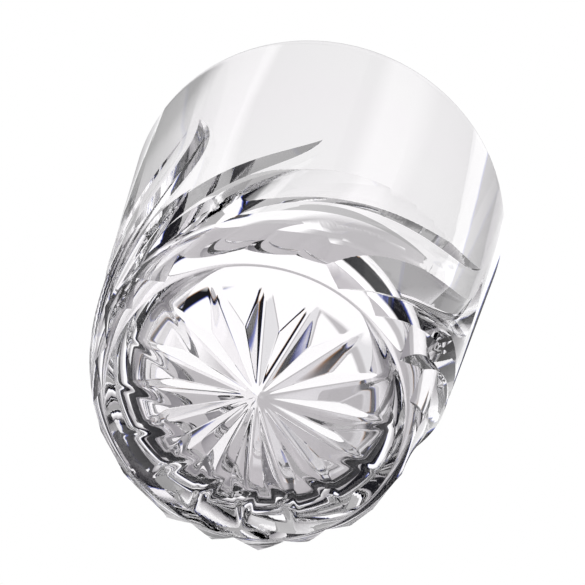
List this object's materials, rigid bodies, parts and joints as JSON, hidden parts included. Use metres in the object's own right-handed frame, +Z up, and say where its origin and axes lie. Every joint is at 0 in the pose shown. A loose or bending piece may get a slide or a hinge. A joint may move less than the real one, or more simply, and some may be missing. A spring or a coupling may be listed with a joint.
{
  "type": "schnapps glass",
  "caption": "Small tapered tumbler of clear cut crystal for spirits, with swirling leaf cuts on the lower wall, a star-cut base and a plain thin lip.",
  "frame": {"origin": "middle of the base on the table", "axes": "+Z up along the glass's axis, -Y towards the side of the wall that faces the viewer"},
  "size_m": [0.05, 0.05, 0.057],
  "materials": {
    "crystal": "clear, cut and polished"
  },
  "bodies": {
    "root": {"star_base": "crystal", "cut_wall": "crystal", "plain_wall": "crystal", "rim": "crystal"}
  },
  "joints": []
}
